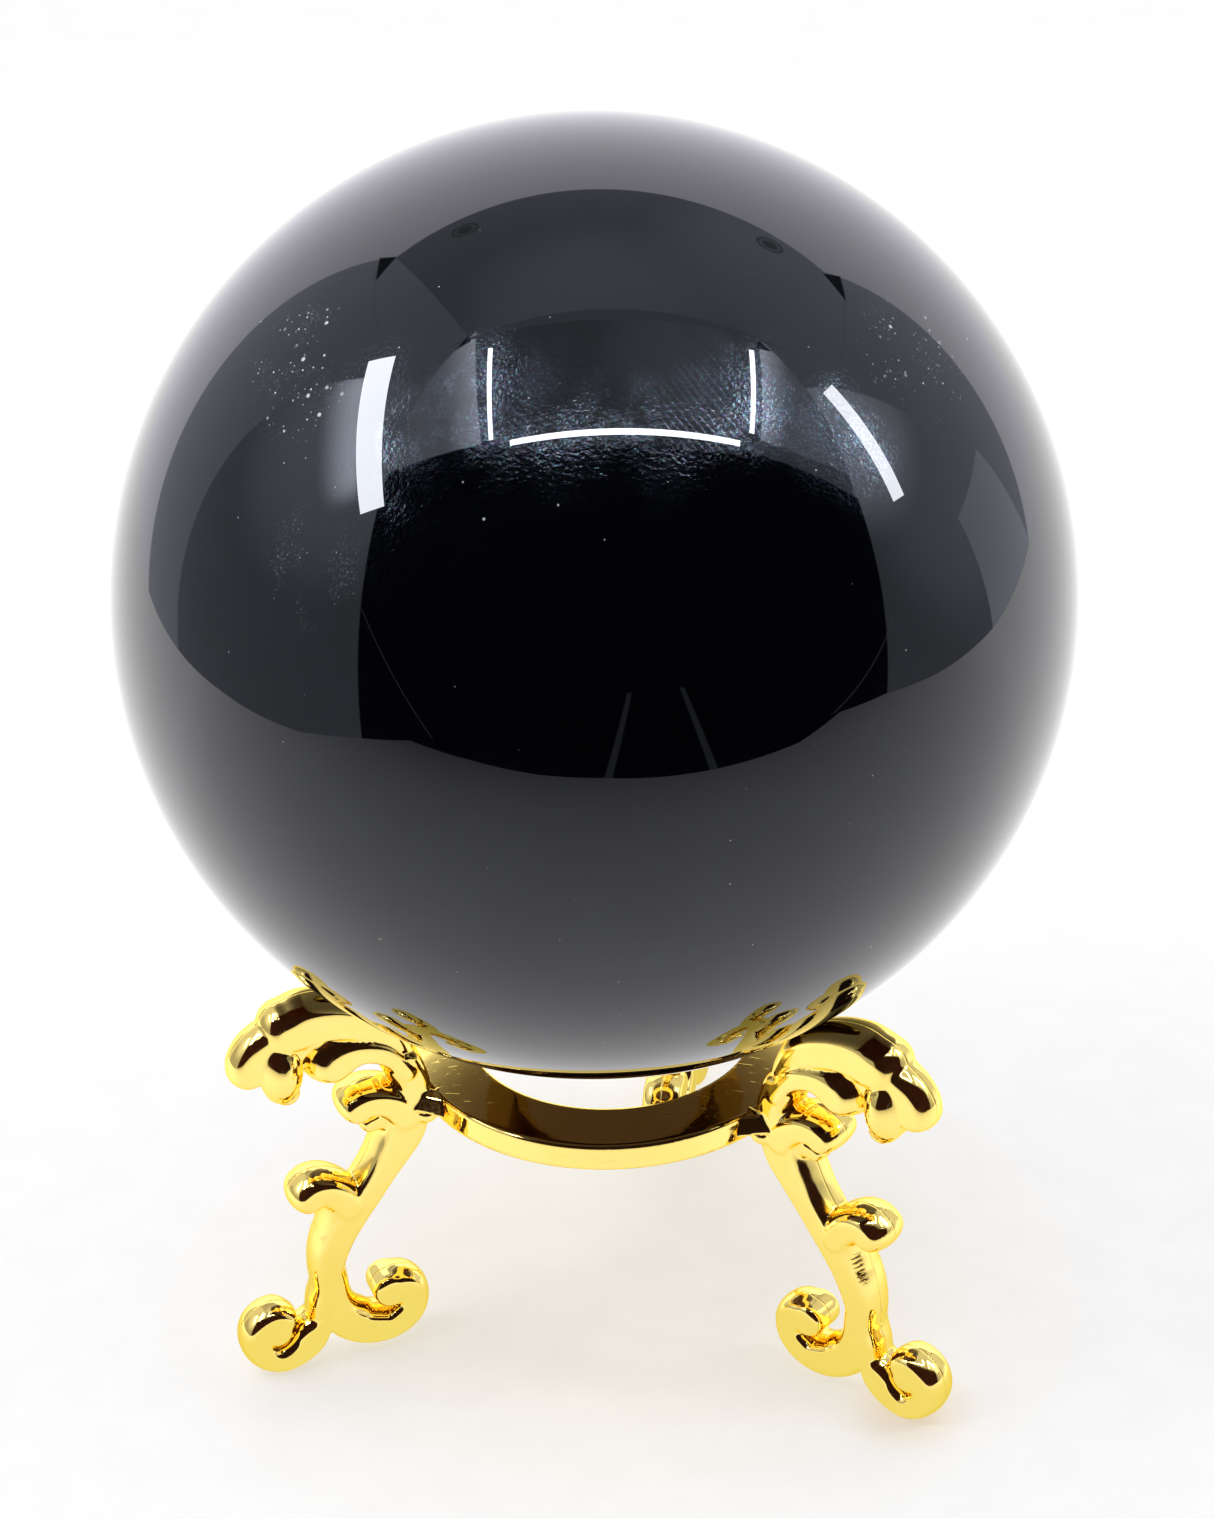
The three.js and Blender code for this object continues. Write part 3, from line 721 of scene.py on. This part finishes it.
def strap_surface(points, thickness, swell, left_round, right_round, ridge=0.0, power=2.0):
    """A strap as a closed grid: stations along the centre line by places round the section. With u = |2y / thickness|
    each edge reaches half width + swell - rounding * (1 - (1 - u ** power) ** (1 / power)) - ridge * u from the line;
    past the line's ends the two edges turn through a quarter circle and share their roundings until they meet."""
    line = centre_line(points, 64)
    ahead = np.gradient(line[:, :2], axis=0)
    ahead = ahead / np.linalg.norm(ahead, axis=1)[:, None]
    side = np.stack([-ahead[:, 1], ahead[:, 0]], 1)
    turn = np.concatenate([np.linspace(-90, 0, 9)[:-1], np.zeros(64), np.linspace(0, 90, 13)[1:]])
    turn = np.radians(turn)[:, None]
    station = np.clip(np.arange(84) - 8, 0, 63)
    at, ahead, side = line[station], ahead[station], side[station]
    share = (station / 63)[:, None]
    across = np.linspace(0, np.pi, 25)[None, :]
    y = (thickness[0] + (thickness[1] - thickness[0]) * share) / 2 * np.cos(across)
    level = np.abs(np.cos(across))
    arch = 1 - np.maximum(1 - level ** power, 0.0) ** (1 / power)
    full = at[:, 2:] + swell[0] + (swell[1] - swell[0]) * share
    cuts = [np.minimum(a + (b - a) * share, full - ridge - 0.1) for a, b in (left_round, right_round)]
    edges = []
    for hand, cut in ((1, cuts[0]), (-1, cuts[1])):
        way = hand * side * np.cos(turn) + ahead * np.sin(turn)
        cut = cut * np.cos(turn) + (cuts[0] + cuts[1]) / 2 * (1 - np.cos(turn))
        reach = full - cut * arch - ridge * level
        place = at[:, None, :2] + way[:, None] * reach[..., None]
        edges.append(np.stack([place[..., 0], y, place[..., 1]], -1))
    loop = np.concatenate([edges[0], edges[1][:, ::-1]], 1)
    rows, columns = loop.shape[:2]
    i, j = np.meshgrid(np.arange(rows - 1), np.arange(columns), indexing="ij")
    k = (j + 1) % columns
    quads = np.stack([i * columns + j, i * columns + k, (i + 1) * columns + k, (i + 1) * columns + j], -1)
    return loop.reshape(-1, 3), quads.reshape(-1, 4)


def lump(middle, half):
    """An ellipsoid: a ball stretched to its half sizes along the distance from the axis, across and up."""
    points, groups = ball(1.0, np.zeros(3), 32, 16)
    return points * np.array(half) + np.array(middle), groups


def bulge(middle, half, rim, rise):
    """A lens on both flat sides: at a share p of the way out to its oval rim it lies rim + rise * (1 - p * p) off the
    middle plane, and a straight wall joins the two rims."""
    points, groups = ball(1.0, np.zeros(3), 48, 32)
    off = np.sign(np.round(points[:, 1], 9)) * (rim + rise * points[:, 1] ** 2)
    return np.stack([middle[0] + half[0] * points[:, 0], off, middle[1] + half[1] * points[:, 2]], 1), groups


def wedge(hand):
    """A wedge of solder on the side that hand (1 or -1) gives: the six corners with five flat faces."""
    points = np.array(WEDGE) * np.array([1, hand, 1])
    threes = np.array([[0, 1, 2], [3, 5, 4]])
    fours = np.array([[0, 3, 4, 1], [1, 4, 5, 2], [2, 5, 3, 0]])
    return points, [threes[:, ::-hand], fours[:, ::-hand]]


def scroll_core(r, h, radius, half):
    """A button about the line across the strap at (r, h): its rim is radius * (1 - level ** 8) ** 0.25, level being
    the share of its half thickness, so that its sides are softly domed."""
    angle = np.linspace(0, 2 * np.pi, 40, endpoint=False)[:, None]
    level = np.cos(np.linspace(0, np.pi, 21))[None, :]
    size = radius * np.maximum(1 - np.abs(level) ** 8, 0.0) ** 0.25
    points = np.stack([r + size * np.cos(angle), half * level + 0 * angle, h + size * np.sin(angle)], -1)
    rows, columns = points.shape[:2]
    i, j = np.meshgrid(np.arange(rows), np.arange(columns - 1), indexing="ij")
    n = (i + 1) % rows
    quads = np.stack([i * columns + j, n * columns + j, n * columns + j + 1, i * columns + j + 1], -1)
    return points.reshape(-1, 3), quads.reshape(-1, 4)


# Every shell as its points and its groups of faces, then all as one mesh, run together and softened.
shells = [(points, [faces]) for points, faces in (strap_surface(*strap) for strap in STRAPS.values())]
shells += [(points, [faces]) for points, faces in (scroll_core(*core) for core in SCROLL_CORES)]
shells += [lump(*sizes) for sizes in LUMPS] + [wedge(1), wedge(-1), bulge(*BULGE)]
offsets = np.cumsum([0] + [len(points) for points, _ in shells[:-1]])
leg_points = np.concatenate([points for points, _ in shells]) * 0.001
leg_faces = [faces + offset for (_, groups), offset in zip(shells, offsets) for faces in groups]
mould = new_object("leg_mould", leg_points, leg_faces)
cast = mould.modifiers.new("one_casting", "REMESH")
cast.mode = "VOXEL"
cast.voxel_size = LEG_GRAIN * 0.001
cast.use_smooth_shade = True
soften = mould.modifiers.new("soft_edges", "SMOOTH")
soften.factor = 0.5
soften.iterations = 10
finished = bpy.data.meshes.new_from_object(mould.evaluated_get(bpy.context.evaluated_depsgraph_get()))
bpy.data.objects.remove(mould)
leg_points = np.zeros(len(finished.vertices) * 3)
finished.vertices.foreach_get("co", leg_points)
leg_points = leg_points.reshape(-1, 3)

# The zigzag scratch on the right leg: its top end, the ways along and across it, and the way the near side faces.
SCRATCH_START = (0.02588, -0.01737, 0.0174)
SCRATCH_ALONG = (0.3213, -0.1855, -0.9286)
SCRATCH_ACROSS = (0.8042, -0.4643, 0.3710)
NEAR_SIDE = (-0.5, -0.866, 0.0)


def casting_marks(base):
    """Relief from the mould, laid out on the leg's own map (across and height): a sunk parting line all round at
    mid-thickness and fine ribs on the shaft's edge. Also a dark zigzag scratch low on the right leg's near side."""
    mapped = base.node("ShaderNodeUVMap", {"uv_map": "casting"})
    across = base.node("ShaderNodeSeparateXYZ", None, {0: mapped}, 0) - 0.5
    height = base.node("ShaderNodeSeparateXYZ", None, {0: mapped}, 1)
    off = base.math("ABSOLUTE", across)
    parting = off.ramp(0.003, 0.012, -0.6, 0.0)
    upper = height.ramp(0.38, 0.44) * height.ramp(0.50, 0.54, 1.0, 0.0)
    lower = height.ramp(0.25, 0.29) * height.ramp(0.34, 0.37, 1.0, 0.0)
    ribs = base.math("SINE", height * 2250.0 + across * 60.0) * (upper + lower) * off.ramp(0.1, 0.2, 1.0, 0.0)

    at = base.node("ShaderNodeTexCoord", out=3)
    from_start = base.vector("SUBTRACT", at, SCRATCH_START)
    run = base.vector("DOT_PRODUCT", from_start, SCRATCH_ALONG, out=1)
    sideways = base.vector("DOT_PRODUCT", from_start, SCRATCH_ACROSS, out=1)
    waver = base.node("ShaderNodeTexNoise", None, {"Vector": at, "Scale": 1800.0})
    zigzag = base.math("PINGPONG", run + waver * 0.0003, 0.00025) * 3.4 - 0.0004
    scratch = base.math("ABSOLUTE", sideways - zigzag).ramp(0.00020, 0.00036, 1.0, 0.0)
    scratch = scratch * run.ramp(-0.0001, 0.0001) * run.ramp(0.0030, 0.0033, 1.0, 0.0)
    near_side = base.vector("DOT_PRODUCT", from_start, NEAR_SIDE, out=1).ramp(-0.0012, -0.0008)
    scratch = scratch * near_side
    return parting + ribs * 0.02 - scratch * 0.5, scratch * 0.9


leg_gilding = gilding("leg_gilding", 0.30, 0.0, casting_marks)
corners = np.zeros(len(finished.loops), dtype=np.int32)
finished.loops.foreach_get("vertex_index", corners)
# The map runs once across each 10 mm of thickness and once up each 50 mm of height.
casting_map = np.stack([leg_points[:, 1] / 0.01 + 0.5, leg_points[:, 2] / 0.05], 1)[corners]
for name, turn in LEG_TURNS.items():
    shape = finished.copy()
    c, s = math.cos(math.radians(turn)), math.sin(math.radians(turn))
    placed = leg_points @ np.array([[c, s, 0], [-s, c, 0], [0, 0, 1]])
    # The feet are flat where they stand on the floor.
    placed[:, 2] = np.maximum(placed[:, 2], 0.0)
    shape.vertices.foreach_set("co", placed.ravel())
    shape.polygons.foreach_set("use_smooth", np.full(len(shape.polygons), True))
    shape.uv_layers.new(name="casting").uv.foreach_set("vector", casting_map.ravel())
    shape.update()
    leg = bpy.data.objects.new("gilded_" + name, shape)
    bpy.context.scene.collection.objects.link(leg)
    leg.data.materials.append(leg_gilding)
    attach(leg, "root")
    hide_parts(name)
